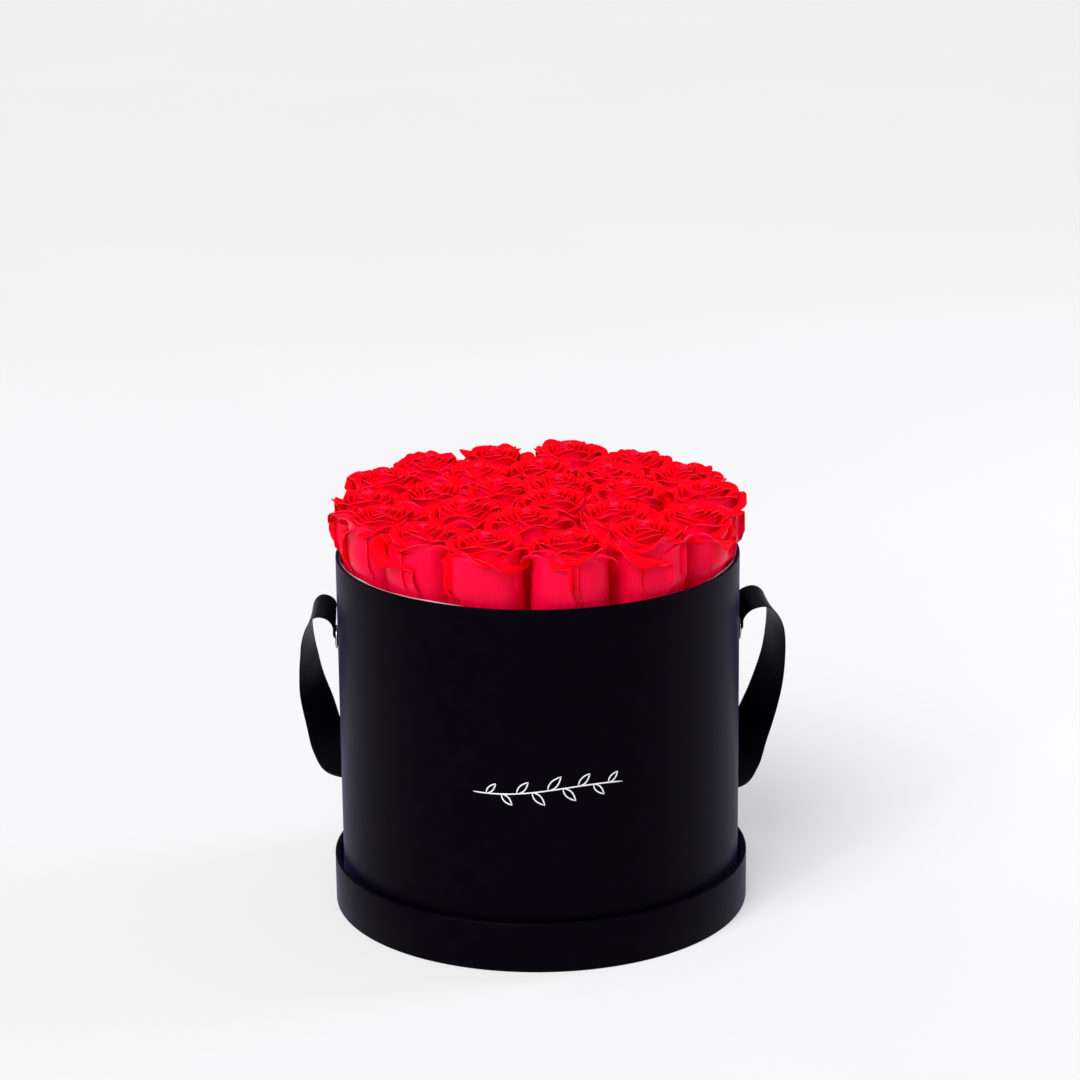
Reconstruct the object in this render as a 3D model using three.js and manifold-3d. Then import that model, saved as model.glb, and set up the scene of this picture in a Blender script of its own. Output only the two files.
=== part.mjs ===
// A round cardboard flower box that stands in its own upturned lid, with a ribbon carry strap
// and a packed dome of cut roses in floral foam. Millimetres, +Z up.
// The origin is the centre of the lid's underside. -Y is the front, and the eyelets are on the X axis.

import * as THREE from 'three';
import { mergeVertices } from 'three/addons/utils/BufferGeometryUtils.js';
import Module from 'manifold-3d';

const wasm = await Module();
wasm.setup();

// Lid, used upside down as a tray
const LID_RADIUS = 114.7;
const LID_HEIGHT = 27.3;
const RIM_THICKNESS = 2.1;
const LID_PANEL_THICKNESS = 2;
const BOARD_GAP = 0.3; // between the boards that are glued or stand on each other

// Box
const WALL_RADIUS = 110;
const WALL_THICKNESS = 1.8;
const WALL_BOTTOM = LID_PANEL_THICKNESS + BOARD_GAP;
const WALL_TOP = 199.1;
const BOTTOM_THICKNESS = 2;
const WALL_SEGMENTS = 96;
const INNER_RADIUS = WALL_RADIUS - WALL_THICKNESS;

// Film liner: narrow round the foam so that it clears the strap's knots, wide at its mouth
const FILM_THICKNESS = 0.4;
const FILM_NARROW = 100;
const FILM_WIDE = INNER_RADIUS - BOARD_GAP;
const FILM_BOTTOM = WALL_BOTTOM + BOTTOM_THICKNESS + BOARD_GAP;
const FILM_SHOULDER = 168;
const FILM_FLARE_TOP = 178;
const FILM_TOP = 197.6;
const FILM_SEGMENTS = 48;

// Floral foam
const FOAM_RADIUS = 98.5;
const FOAM_BOTTOM = FILM_BOTTOM + FILM_THICKNESS + BOARD_GAP;
const FOAM_TOP = 122;

// Roses
const MIDDLE_ROSES = 8;
const INNER_ROSES = 3;
const OUTER_RING = 87.5;
const MIDDLE_RING = 50;
const INNER_RING = 18;
// Where the outer roses stand round the rim, turned from +X: packed by hand, so not quite even
const OUTER_ROSE_DEG = [-82, -54.5, -28, -1, 25, 51, 77, 102.5, 128.5, 154, 180, 205, 227.5, 250.5];
const MIDDLE_START_DEG = -91;
const INNER_START_DEG = -60;
const HEAD_SPACING = 40;
const HEAD_RADIUS_MAX = 19.4;
const HEAD_GAP = 0.3;
const HEAD_TOP_OUTER = 235;
const HEAD_TOP_RISE = 4; // how much higher the middle of the dome is
const HEAD_TOP_VARIATION = 1.1;
const HEAD_TOP_STEP = 2.4; // radians from one rose to the next along the wave that varies their tops
// The head's outline as shares of its radius: rows with heights above the calyx, then depths below the top
const HEAD_LOWER = [[0.35, 0], [0.7, 10], [0.93, 25]];
const HEAD_UPPER = [[1, 14], [0.93, 5], [0.5, 0]];
const HEAD_SEGMENTS = 10;
const CALYX_Z = 168;
const CALYX_TAPER = 4;
const STEM_RADIUS = 2.6;
const STEM_BOTTOM = 82;
const STEM_HOLE_RADIUS = 3.1;
const RELAX_STEPS = 60;

// Eyelets, washers and strap
const EYELET_Z = 152;
const EYELET_BORE = 4.2;
const EYELET_BARREL = 4.8;
const EYELET_FLANGE = 6.5;
const EYELET_HOLE = 5.2;
const EYELET_INNER_X = 106.3;
const EYELET_OUTER_X = 111.3;
const FLANGE_THICKNESS = 1.1;
const FLANGE_EDGE = 0.4; // the flange's edge as a share of its thickness
const FLANGE_BEVEL = 1;
const LIP_THICKNESS = 0.6;
const LIP_OVERHANG = 1.2;
const WASHER_RADIUS = 7.2;
const WASHER_THICKNESS = 0.6;
const WASHER_PLAY = 0.1;
const WASHER_BORE_PLAY = 0.2;
const SMALL_SEGMENTS = 24;
const RIBBON_THICKNESS = 1;
const RIBBON_STEPS_PER_POINT = 2;
const KNOT_HALF_THICKNESS = 2.3;
const KNOT_RADIUS = 6.5;
const KNOT_GAP = 0.3;

// Half of the strap, from the end in the eyelet to the middle of the box's back. Each row is a
// point on the ribbon's lower (front) edge, then the point across from it on the upper edge.
const HALF_STRAP = [
  [[106, -3.5, 152], [106, 3.5, 152]],
  [[109, -3.5, 152], [109, 3.5, 152]],
  [[112, -3.5, 152.6], [112, 3.5, 152.6]],
  [[112.6, -6, 158.5], [111.6, 7, 162]],
  [[117.2, -9, 164.2], [111.6, 12, 168.5]],
  [[125, -8, 165], [119, 14.5, 171]],
  [[131, -4, 159], [125, 18, 166.5]],
  [[135, 0, 149], [127.5, 22, 156]],
  [[136.3, 5, 136], [127, 26.5, 143]],
  [[135.5, 11, 121], [124.8, 30, 130]],
  [[132.6, 20, 102], [120, 37, 113]],
  [[129.3, 30, 82], [114, 44, 95]],
  [[126, 43, 61], [110, 51, 77]],
  [[118.5, 59, 43], [105, 62, 62]],
  [[98, 82, 31], [89, 80, 53]],
  [[73, 98, 24], [68, 96, 48]],
  [[49, 110, 21], [45, 108, 45]],
  [[25, 117, 20], [23, 115, 44]],
  [[0, 119, 20], [0, 118, 44]],
];

// The loop hangs a little askew: lower on the right, by this share of the distance from the middle
const STRAP_TILT = 0.06;
const STRAP_TILT_TOP = 150;
const STRAP_TILT_FADE = 40;

// The left arch stands out less from the wall: this share of its reach beyond a start is taken away
const LEFT_TIGHTER = 0.25;
const LEFT_TIGHTER_START_X = 112;
const LEFT_TIGHTER_BOTTOM = 95;
const LEFT_TIGHTER_FADE = 35;

const group = new THREE.Group();

function addPart(name, geometry, material) {
  const mesh = new THREE.Mesh(geometry, material);
  mesh.name = name;
  group.add(mesh);
  return mesh;
}

function finish(color, roughness, metalness = 0) {
  return new THREE.MeshStandardMaterial({ color, roughness, metalness });
}

const boardFinish = () => finish(0x0e0d15, 0.55);
const filmFinish = () => finish(0xdfe3e6, 0.2);
const foamFinish = () => finish(0x2f5a38, 0.9);
const nickelFinish = () => finish(0xb9b6b0, 0.3, 1);
const ribbonFinish = () => finish(0x0a0a12, 0.35);
const petalFinish = () => finish(0xe60a1e, 0.5);

// A solid of revolution about Z, from corners [radius, z] listed anticlockwise
function turned(profile, segments) {
  const corners = profile.map(([radius, z]) => new THREE.Vector2(radius, z));
  const geometry = new THREE.LatheGeometry(corners, segments);
  geometry.rotateX(Math.PI / 2);
  return geometry;
}

// A ring or, with no inner radius, a disc
function ring(inner, outer, bottom, top, segments) {
  if (inner === 0) {
    return turned([[0, bottom], [outer, bottom], [outer, top], [0, top]], segments);
  }
  return turned([[inner, bottom], [outer, bottom], [outer, top], [inner, top], [inner, bottom]], segments);
}

function toSolid(geometry) {
  const bare = geometry.clone();
  bare.deleteAttribute('normal');
  bare.deleteAttribute('uv');
  const merged = mergeVertices(bare);
  return new wasm.Manifold(new wasm.Mesh({
    numProp: 3,
    vertProperties: new Float32Array(merged.attributes.position.array),
    triVerts: new Uint32Array(merged.index.array),
  }));
}

function fromSolid(solid) {
  const mesh = solid.getMesh();
  const geometry = new THREE.BufferGeometry();
  geometry.setAttribute('position', new THREE.BufferAttribute(new Float32Array(mesh.vertProperties), 3));
  geometry.setIndex(new THREE.BufferAttribute(new Uint32Array(mesh.triVerts), 1));
  geometry.computeVertexNormals();
  return geometry;
}

function cut(geometry, cutters) {
  let solid = toSolid(geometry);
  for (const cutter of cutters) {
    solid = solid.subtract(toSolid(cutter));
  }
  return fromSolid(solid);
}

function addLid() {
  const panelRadius = LID_RADIUS - RIM_THICKNESS - BOARD_GAP;
  addPart('lid_panel', ring(0, panelRadius, 0, LID_PANEL_THICKNESS, WALL_SEGMENTS), boardFinish());
  const rim = ring(LID_RADIUS - RIM_THICKNESS, LID_RADIUS, 0, LID_HEIGHT, WALL_SEGMENTS);
  addPart('lid_rim', rim, boardFinish());
}

// A cylinder along X that is centred on an eyelet
function eyeletDrill(side) {
  const drill = new THREE.CylinderGeometry(EYELET_HOLE, EYELET_HOLE, 4 * WALL_THICKNESS, SMALL_SEGMENTS);
  drill.rotateZ(Math.PI / 2);
  drill.translate(side * (WALL_RADIUS - WALL_THICKNESS / 2), 0, EYELET_Z);
  return drill;
}

function addBox() {
  const wall = ring(INNER_RADIUS, WALL_RADIUS, WALL_BOTTOM, WALL_TOP, WALL_SEGMENTS);
  addPart('box_wall', cut(wall, [eyeletDrill(-1), eyeletDrill(1)]), boardFinish());
  const bottomRadius = INNER_RADIUS - BOARD_GAP;
  const bottomTop = WALL_BOTTOM + BOTTOM_THICKNESS;
  addPart('box_bottom', ring(0, bottomRadius, WALL_BOTTOM, bottomTop, WALL_SEGMENTS), boardFinish());
}

function addFilmLiner() {
  const profile = [
    [0, FILM_BOTTOM],
    [FILM_NARROW, FILM_BOTTOM],
    [FILM_NARROW, FILM_SHOULDER],
    [FILM_WIDE, FILM_FLARE_TOP],
    [FILM_WIDE, FILM_TOP],
    [FILM_WIDE - FILM_THICKNESS, FILM_TOP],
    [FILM_WIDE - FILM_THICKNESS, FILM_FLARE_TOP],
    [FILM_NARROW - FILM_THICKNESS, FILM_SHOULDER],
    [FILM_NARROW - FILM_THICKNESS, FILM_BOTTOM + FILM_THICKNESS],
    [0, FILM_BOTTOM + FILM_THICKNESS],
  ];
  addPart('film_liner', turned(profile, FILM_SEGMENTS), filmFinish());
}

function pointAt(radius, degrees) {
  const angle = THREE.MathUtils.degToRad(degrees);
  return new THREE.Vector2(radius * Math.cos(angle), radius * Math.sin(angle));
}

function ringOfPoints(count, radius, startDegrees) {
  const points = [];
  for (let i = 0; i < count; i += 1) {
    points.push(pointAt(radius, startDegrees + (360 * i) / count));
  }
  return points;
}

// The rose centres: a fixed outer ring, and inner roses that push each other apart until they settle
function roseCentres() {
  const fixed = OUTER_ROSE_DEG.map((degrees) => pointAt(OUTER_RING, degrees));
  const free = [
    ...ringOfPoints(MIDDLE_ROSES, MIDDLE_RING, MIDDLE_START_DEG),
    ...ringOfPoints(INNER_ROSES, INNER_RING, INNER_START_DEG),
  ];
  const all = [...fixed, ...free];
  for (let step = 0; step < RELAX_STEPS; step += 1) {
    for (const point of free) {
      const push = new THREE.Vector2();
      for (const other of all) {
        const away = point.clone().sub(other);
        const distance = away.length();
        if (other !== point && distance < HEAD_SPACING) {
          push.add(away.multiplyScalar((HEAD_SPACING - distance) / distance / 2));
        }
      }
      point.add(push);
    }
  }
  return all;
}

function nearestDistance(point, points) {
  const distances = points.filter((other) => other !== point).map((other) => other.distanceTo(point));
  return Math.min(...distances);
}

// A rose head with its calyx and stem, widest just under its flat top
function roseGeometry(headRadius, top) {
  const profile = [
    [0, STEM_BOTTOM],
    [STEM_RADIUS, STEM_BOTTOM],
    [STEM_RADIUS, CALYX_Z - CALYX_TAPER],
    ...HEAD_LOWER.map(([share, height]) => [headRadius * share, CALYX_Z + height]),
    ...HEAD_UPPER.map(([share, depth]) => [headRadius * share, top - depth]),
    [0, top],
  ];
  return turned(profile, HEAD_SEGMENTS);
}

function addRosesAndFoam() {
  const centres = roseCentres();
  const holes = [];
  centres.forEach((centre, i) => {
    const spaceLeft = nearestDistance(centre, centres) / 2 - HEAD_GAP;
    const headRadius = Math.min(HEAD_RADIUS_MAX, spaceLeft);
    const dome = 1 - centre.length() / OUTER_RING;
    const top = HEAD_TOP_OUTER + HEAD_TOP_RISE * dome + HEAD_TOP_VARIATION * Math.sin(i * HEAD_TOP_STEP);
    const name = `rose_${String(i + 1).padStart(2, '0')}`;
    const rose = addPart(name, roseGeometry(headRadius, top), petalFinish());
    rose.position.set(centre.x, centre.y, 0);
    const hole = ring(0, STEM_HOLE_RADIUS, STEM_BOTTOM - HEAD_GAP, FOAM_TOP + 1, HEAD_SEGMENTS);
    hole.translate(centre.x, centre.y, 0);
    holes.push(hole);
  });
  const foam = ring(0, FOAM_RADIUS, FOAM_BOTTOM, FOAM_TOP, FILM_SEGMENTS);
  addPart('floral_foam', cut(foam, holes), foamFinish());
}

// Turns a solid made about Z so that it lies along X, with its Z as the distance out from the axis
function alongX(geometry, side) {
  geometry.rotateY((side * Math.PI) / 2);
  geometry.translate(0, 0, EYELET_Z);
  return geometry;
}

function eyeletGeometry() {
  const lipEnd = EYELET_INNER_X + LIP_THICKNESS;
  const flangeStart = EYELET_OUTER_X - FLANGE_THICKNESS;
  return turned([
    [EYELET_BORE, EYELET_INNER_X],
    [EYELET_BARREL + LIP_OVERHANG, EYELET_INNER_X],
    [EYELET_BARREL + LIP_OVERHANG, lipEnd],
    [EYELET_BARREL, lipEnd],
    [EYELET_BARREL, flangeStart],
    [EYELET_FLANGE, flangeStart],
    [EYELET_FLANGE, flangeStart + FLANGE_THICKNESS * FLANGE_EDGE],
    [EYELET_FLANGE - FLANGE_BEVEL, EYELET_OUTER_X],
    [EYELET_BORE, EYELET_OUTER_X],
    [EYELET_BORE, EYELET_INNER_X],
  ], SMALL_SEGMENTS);
}

function knotGeometry() {
  const knot = new THREE.SphereGeometry(KNOT_RADIUS, 12, 8);
  const centreX = HALF_STRAP[0][0][0] - KNOT_GAP - KNOT_HALF_THICKNESS;
  knot.scale(KNOT_HALF_THICKNESS / KNOT_RADIUS, 1, 1);
  knot.translate(centreX, 0, EYELET_Z);
  return knot;
}

function addFastenings() {
  for (const [name, side] of [['left', -1], ['right', 1]]) {
    addPart(`eyelet_${name}`, alongX(eyeletGeometry(), side), nickelFinish());
    const washerStart = EYELET_INNER_X + LIP_THICKNESS + WASHER_PLAY;
    const washerEnd = washerStart + WASHER_THICKNESS;
    const washerBore = EYELET_BARREL + WASHER_BORE_PLAY;
    const washer = ring(washerBore, WASHER_RADIUS, washerStart, washerEnd, SMALL_SEGMENTS);
    addPart(`washer_${name}`, alongX(washer, side), nickelFinish());
    const knot = knotGeometry();
    if (side < 0) {
      knot.rotateZ(Math.PI);
    }
    addPart(`strap_knot_${name}`, knot, ribbonFinish());
  }
}

// The point of the left half that belongs to a point of the right half
function leftPoint(right) {
  const fade = THREE.MathUtils.clamp((right.z - LEFT_TIGHTER_BOTTOM) / LEFT_TIGHTER_FADE, 0, 1);
  const reach = Math.max(right.x - LEFT_TIGHTER_START_X, 0);
  return new THREE.Vector3(-right.x + LEFT_TIGHTER * fade * reach, right.y, right.z);
}

// One edge of the strap as a curve from the right eyelet, behind the box, to the left one
function strapEdge(edge) {
  const right = HALF_STRAP.map((row) => new THREE.Vector3(...row[edge]));
  const left = right.slice(0, -1).reverse().map(leftPoint);
  const points = [...right, ...left];
  for (const point of points) {
    const hanging = THREE.MathUtils.clamp((STRAP_TILT_TOP - point.z) / STRAP_TILT_FADE, 0, 1);
    point.z -= STRAP_TILT * hanging * point.x;
  }
  return new THREE.CatmullRomCurve3(points);
}

function strapGeometry() {
  const lower = strapEdge(0);
  const upper = strapEdge(1);
  const steps = (HALF_STRAP.length - 1) * 2 * RIBBON_STEPS_PER_POINT;
  const positions = [];
  for (let i = 0; i <= steps; i += 1) {
    const t = i / steps;
    const low = lower.getPoint(t);
    const high = upper.getPoint(t);
    const along = lower.getTangent(t).add(upper.getTangent(t));
    const half = new THREE.Vector3().crossVectors(along, high.clone().sub(low));
    half.setLength(RIBBON_THICKNESS / 2);
    for (const [edge, sign] of [[low, 1], [high, 1], [high, -1], [low, -1]]) {
      const corner = edge.clone().addScaledVector(half, sign);
      positions.push(corner.x, corner.y, corner.z);
    }
  }
  const faces = [0, 1, 2, 0, 2, 3];
  const last = steps * 4;
  faces.push(last, last + 2, last + 1, last, last + 3, last + 2);
  for (let i = 0; i < steps; i += 1) {
    for (let side = 0; side < 4; side += 1) {
      const a = i * 4 + side;
      const b = i * 4 + ((side + 1) % 4);
      faces.push(a, a + 4, b, b, a + 4, b + 4);
    }
  }
  const geometry = new THREE.BufferGeometry();
  geometry.setAttribute('position', new THREE.Float32BufferAttribute(positions, 3));
  geometry.setIndex(faces);
  geometry.computeVertexNormals();
  return geometry;
}

addLid();
addBox();
addFilmLiner();
addFastenings();
addPart('ribbon_strap', strapGeometry(), ribbonFinish());
addRosesAndFoam();

export default group;
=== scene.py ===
"""The looks of a round flower box around its CAD frame: board, ribbon, eyelets, film, foam and roses."""

import math
from collections import namedtuple

import bmesh
import bpy
import numpy as np
from mathutils import Matrix, Vector


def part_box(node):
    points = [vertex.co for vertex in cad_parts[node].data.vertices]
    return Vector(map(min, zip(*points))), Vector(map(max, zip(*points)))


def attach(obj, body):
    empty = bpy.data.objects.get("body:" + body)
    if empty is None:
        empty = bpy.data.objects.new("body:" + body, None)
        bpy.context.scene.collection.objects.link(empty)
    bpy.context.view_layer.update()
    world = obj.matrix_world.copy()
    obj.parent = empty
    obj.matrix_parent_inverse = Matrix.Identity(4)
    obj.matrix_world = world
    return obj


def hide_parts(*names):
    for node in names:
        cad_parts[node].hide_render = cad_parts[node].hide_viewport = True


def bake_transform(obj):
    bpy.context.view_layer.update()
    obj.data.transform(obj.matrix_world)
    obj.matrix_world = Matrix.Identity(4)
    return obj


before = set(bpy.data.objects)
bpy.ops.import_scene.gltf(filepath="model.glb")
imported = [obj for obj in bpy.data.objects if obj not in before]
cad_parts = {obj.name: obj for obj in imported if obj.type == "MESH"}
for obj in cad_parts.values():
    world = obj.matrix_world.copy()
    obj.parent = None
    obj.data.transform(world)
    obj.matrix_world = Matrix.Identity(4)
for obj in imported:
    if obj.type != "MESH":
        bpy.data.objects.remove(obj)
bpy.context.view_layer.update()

MM = 0.001
TAU = 2 * math.pi


def node_box(name):
    """The lowest and highest corners of a CAD node, in millimetres."""
    low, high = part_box(name)
    return np.array(low) / MM, np.array(high) / MM


# Places and sizes in millimetres, from the frame where it holds them
WALL_LOW, WALL_HIGH = node_box("box_wall")
WALL_RADIUS = WALL_HIGH[0]
WALL_BOTTOM = WALL_LOW[2]
WALL_TOP = WALL_HIGH[2]
WALL_THICKNESS = 1.8
RIM_HIGH = node_box("lid_rim")[1]
LID_RADIUS = RIM_HIGH[0]
LID_HEIGHT = RIM_HIGH[2]
RIM_THICKNESS = 2.1
EYELET_LOW, EYELET_HIGH = node_box("eyelet_right")
EYELET_Z = (EYELET_LOW[2] + EYELET_HIGH[2]) / 2
EYELET_INNER_X = EYELET_LOW[0]
EYELET_OUTER_X = EYELET_HIGH[0]
EYELET_FLANGE = (EYELET_HIGH[2] - EYELET_LOW[2]) / 2
EYELET_BORE = 4.2
EYELET_HOLE = 5.2
FILM_LOW_Z = node_box("film_liner")[0][2]

ROSE_NAMES = sorted(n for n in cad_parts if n.startswith("rose_"))


# ---------------------------------------------------------------- mesh helpers


def add_object(name, data):
    """A new object in the scene that shows the given data."""
    thing = bpy.data.objects.new(name, data)
    bpy.context.scene.collection.objects.link(thing)
    return thing


def make_piece(name, points, faces, uv=None):
    """A mesh object from points in millimetres, smooth shaded, with one uv pair for each point."""
    mesh = bpy.data.meshes.new(name)
    mesh.from_pydata((np.asarray(points, float) * MM).tolist(), [], faces)
    mesh.polygons.foreach_set("use_smooth", [True] * len(mesh.polygons))
    if uv is not None:
        corner_points = np.zeros(len(mesh.loops), int)
        mesh.loops.foreach_get("vertex_index", corner_points)
        layer = mesh.uv_layers.new(name="UVMap")
        layer.data.foreach_set("uv", np.asarray(uv, float)[corner_points].ravel())
    mesh.update()
    return add_object(name, mesh)


def point_places(piece):
    """The piece's points, in millimetres."""
    return np.array([v.co for v in piece.data.vertices]) / MM


def move_points(piece, places):
    """Puts the piece's points at the given places, in millimetres."""
    piece.data.vertices.foreach_set("co", (places * MM).ravel())


def fix_normals(piece):
    """Turns all faces outwards."""
    work = bmesh.new()
    work.from_mesh(piece.data)
    bmesh.ops.recalc_face_normals(work, faces=work.faces)
    work.to_mesh(piece.data)
    work.free()


def add_thickness(piece, thickness):
    """Makes a sheet that many millimetres thick, half on each side."""
    solid = piece.modifiers.new("thickness", "SOLIDIFY")
    solid.thickness = thickness * MM
    solid.offset = 0
    return solid


def grid_faces(rows, columns, wrap_rows=False, wrap_columns=False):
    """Quads over a grid whose point (row, column) is number row * columns + column."""
    faces = []
    for i in range(rows if wrap_rows else rows - 1):
        for j in range(columns if wrap_columns else columns - 1):
            row, column = i * columns, j
            next_row, next_column = (i + 1) % rows * columns, (j + 1) % columns
            near = (row + column, row + next_column)
            far = (next_row + next_column, next_row + column)
            faces.append((*near, *far))
    return faces


def joined(grids):
    """The points and faces of several grids, each given as points and faces, as one mesh."""
    points, faces = [], []
    for grid, quads in grids:
        start = sum(len(p) for p in points)
        points.append(grid)
        faces.extend(tuple(v + start for v in face) for face in quads)
    return np.concatenate(points), faces


def eased(share):
    """The share from 0 to 1, with a soft start and a soft end."""
    share = np.clip(share, 0, 1)
    return share * share * (3 - 2 * share)


def unit(vectors):
    """The vectors, each made 1 long."""
    return vectors / np.linalg.norm(vectors, axis=-1, keepdims=True)


def polar(angle, radius):
    """The x and y of a place at an angle and a distance from the axis."""
    return radius * np.cos(angle), radius * np.sin(angle)


def rounded_loop(corners, radius, steps=5):
    """A closed outline in (radius, z) with each corner rounded."""
    corners = np.asarray(corners, float)
    outline = []
    for i, corner in enumerate(corners):
        before = corners[i - 1] - corner
        after = corners[(i + 1) % len(corners)] - corner
        # a rounding never uses more than half of an edge, so that two of them fit on it
        reach = min(radius, np.linalg.norm(before) * 0.49, np.linalg.norm(after) * 0.49)
        start = corner + before / np.linalg.norm(before) * reach
        end = corner + after / np.linalg.norm(after) * reach
        for t in np.linspace(0, 1, steps):
            outline.append((1 - t) ** 2 * start + 2 * t * (1 - t) * corner + t * t * end)
    return np.array(outline)


def turned_piece(name, outline, segments):
    """A ring: a closed outline of (radius, z) turned about Z."""
    angles = np.arange(segments) * TAU / segments
    radius, z = outline[:, 0], outline[:, 1]
    x = np.outer(np.cos(angles), radius)
    y = np.outer(np.sin(angles), radius)
    points = np.stack([x, y, np.broadcast_to(z, x.shape)], axis=-1).reshape(-1, 3)
    faces = grid_faces(segments, len(outline), wrap_rows=True, wrap_columns=True)
    return make_piece(name, points, faces)


# ---------------------------------------------------------------- material helpers


def set_sockets(node, **values):
    """Sets input sockets by name, with _ in place of each space; a colour is three numbers."""
    for name, value in values.items():
        if isinstance(value, tuple):
            value = (*value, 1)
        node.inputs[name.replace("_", " ")].default_value = value


class Look:
    """A material that is being put together."""

    def __init__(self, name):
        self.material = bpy.data.materials.new(name)
        self.material.use_nodes = True
        self.nodes = self.material.node_tree.nodes
        self.shader = self.nodes["Principled BSDF"]

    def link(self, output, socket):
        """Joins one node's output to another's socket."""
        self.material.node_tree.links.new(output, socket)

    def set(self, **values):
        """Sets the shader's sockets."""
        set_sockets(self.shader, **values)

    def feed(self, socket_name, output):
        """Drives one of the shader's sockets."""
        self.link(output, self.shader.inputs[socket_name])

    def object_place(self):
        """Coordinates that are fixed to the piece."""
        return self.nodes.new("ShaderNodeTexCoord").outputs["Object"]

    def uv_place(self):
        """The piece's own uv coordinates."""
        uv = self.nodes.new("ShaderNodeUVMap")
        uv.uv_map = "UVMap"
        return uv.outputs["UV"]

    def ramp(self, value, stops):
        """The colour for a value, from a list of (position, colour)."""
        ramp = self.nodes.new("ShaderNodeValToRGB")
        elements = ramp.color_ramp.elements
        while len(elements) < len(stops):
            elements.new(0.5)
        for element, (position, colour) in zip(elements, stops):
            element.position = position
            element.color = (*colour, 1)
        self.link(value, ramp.inputs["Fac"])
        return ramp.outputs["Color"]

    def noise(self, place, scale, detail=3, stretch=(1, 1, 1)):
        """A noise texture over the given coordinates, stretched along the axes."""
        mapping = self.nodes.new("ShaderNodeMapping")
        mapping.inputs["Scale"].default_value = stretch
        self.link(place, mapping.inputs["Vector"])
        noise = self.nodes.new("ShaderNodeTexNoise")
        set_sockets(noise, Scale=scale, Detail=detail)
        self.link(mapping.outputs["Vector"], noise.inputs["Vector"])
        return noise.outputs["Fac"]

    def bump(self, height, strength, distance):
        """Fine relief on the surface; distance is in metres."""
        bump = self.nodes.new("ShaderNodeBump")
        set_sockets(bump, Strength=strength, Distance=distance)
        self.link(height, bump.inputs["Height"])
        self.feed("Normal", bump.outputs["Normal"])

    def spread(self, value, low, high):
        """The value, from 0 to 1, spread over low to high."""
        spread = self.nodes.new("ShaderNodeMapRange")
        set_sockets(spread, To_Min=low, To_Max=high)
        self.link(value, spread.inputs["Value"])
        return spread.outputs["Result"]

    def math(self, operation, *values, clamp=False):
        """The result of a calculation, such as MULTIPLY, on one or two values."""
        step = self.nodes.new("ShaderNodeMath")
        step.operation = operation
        step.use_clamp = clamp
        for socket, value in zip(step.inputs, values):
            self.link(value, socket)
        return step.outputs["Value"]


# ---------------------------------------------------------------- materials


def board_material(name, dark, light, roughness):
    """Black matte cover paper: a fine fibre grain, faint mottling and a slightly uneven sheen."""
    look = Look(name)
    place = look.object_place()
    mottle = look.noise(place, scale=90, detail=4)
    fibre = look.noise(place, scale=1500, stretch=(1, 1, 0.35))
    look.feed("Base Color", look.ramp(mottle, [(0.3, dark), (0.75, light)]))
    look.feed("Roughness", look.spread(mottle, roughness - 0.05, roughness + 0.05))
    look.bump(fibre, strength=0.12, distance=0.0001)
    look.set(Specular_IOR_Level=0.025)
    look.set(Sheen_Weight=0.11, Sheen_Roughness=0.3, Sheen_Tint=(0.4, 0.28, 1.0))
    return look.material


# Painted glow: how strongly and in what colour the petals give out light of their own
PETAL_PAINTED_GLOW = 0.06
PETAL_PAINTED_GLOW_COLOUR = (1.0, 0.0002, 0.002)
PETAL_SHEEN_TINT = (1.0, 0.004, 0.08)


def petal_colour(look, place, veins, stops, painted_highlight):
    """The stops' colours from a petal's base to its tip, with a painted highlight: a paler colour mixed in,
    in patches and in streaks along the veins.
    """
    parts = look.nodes.new("ShaderNodeSeparateXYZ")
    look.link(place, parts.inputs["Vector"])
    along = look.math("FRACT", parts.outputs["Y"])
    # painted highlight: paler patches and streaks along the veins, mixed into the base colour whatever the
    # light
    highlight_patches = look.noise(place, scale=1, detail=2, stretch=(5, 1.6, 1))
    highlight_along_veins = look.spread(veins, -0.25, 0.75)
    highlight_patch_share = look.spread(highlight_patches, -0.4, 1.4)
    painted_highlight_streaks = look.math("MULTIPLY", highlight_along_veins, highlight_patch_share, clamp=True)
    mix = look.nodes.new("ShaderNodeMix")
    mix.data_type = "RGBA"
    set_sockets(mix, B=painted_highlight)
    look.link(look.ramp(along, stops), mix.inputs["A"])
    look.link(painted_highlight_streaks, mix.inputs["Factor"])
    return mix.outputs["Result"]


def petal_material(name, stops, painted_highlight, roughness, sheen, gloss):
    """Rose petal: colour from base to tip with painted highlight streaks, fine veins along the petal, soft
    velvet sheen and a faint painted glow.
    """
    look = Look(name)
    place = look.uv_place()
    veins = look.noise(place, scale=1, detail=4, stretch=(46, 2.2, 1))
    look.feed("Base Color", petal_colour(look, place, veins, stops, painted_highlight))
    look.feed("Roughness", look.spread(veins, roughness - 0.06, roughness + 0.06))
    look.bump(veins, strength=0.25, distance=0.0006)
    look.set(Specular_IOR_Level=gloss)
    look.set(Sheen_Weight=sheen, Sheen_Roughness=0.5, Sheen_Tint=PETAL_SHEEN_TINT)
    # painted glow: the petals give out a little red light of their own, which lightens the shade deep in the
    # heads
    look.set(Emission_Color=PETAL_PAINTED_GLOW_COLOUR, Emission_Strength=PETAL_PAINTED_GLOW)
    return look.material


def petal_edge_material():
    """The thin cut edge of a petal, paler than its faces."""
    look = Look("petal_edge")
    uneven = look.noise(look.object_place(), scale=260, detail=2)
    stops = [(0.35, (0.82, 0.003, 0.03)), (0.7, (0.95, 0.03, 0.09))]
    look.feed("Base Color", look.ramp(uneven, stops))
    look.set(Roughness=0.5, Specular_IOR_Level=0.1)
    return look.material


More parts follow.
